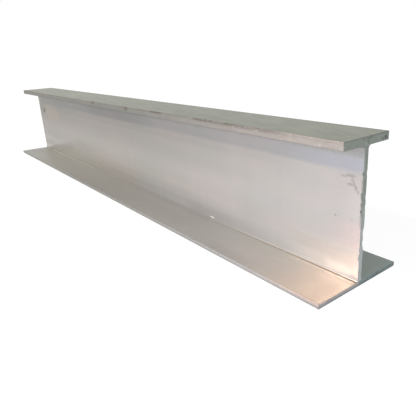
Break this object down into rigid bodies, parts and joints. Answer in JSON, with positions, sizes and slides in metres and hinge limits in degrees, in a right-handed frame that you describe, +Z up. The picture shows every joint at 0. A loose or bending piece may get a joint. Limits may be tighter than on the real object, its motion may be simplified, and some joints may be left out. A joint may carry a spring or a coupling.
{
  "type": "i-beam",
  "caption": "Length of extruded aluminium I-beam stock with a narrow thick top flange, a thin web and a wide thin bottom flange, sawn square at both ends.",
  "frame": {"origin": "middle of the beam's length and width, on the level that its wide bottom flange rests on", "axes": "+X along the beam, +Y across the flanges, +Z up along the web towards the narrow flange"},
  "size_m": [0.95, 0.123, 0.15],
  "materials": {
    "mill_aluminium": "mill finish, dull, with fine lengthwise die lines and sawn ends"
  },
  "bodies": {
    "root": {"i_beam": "mill_aluminium"}
  },
  "joints": []
}
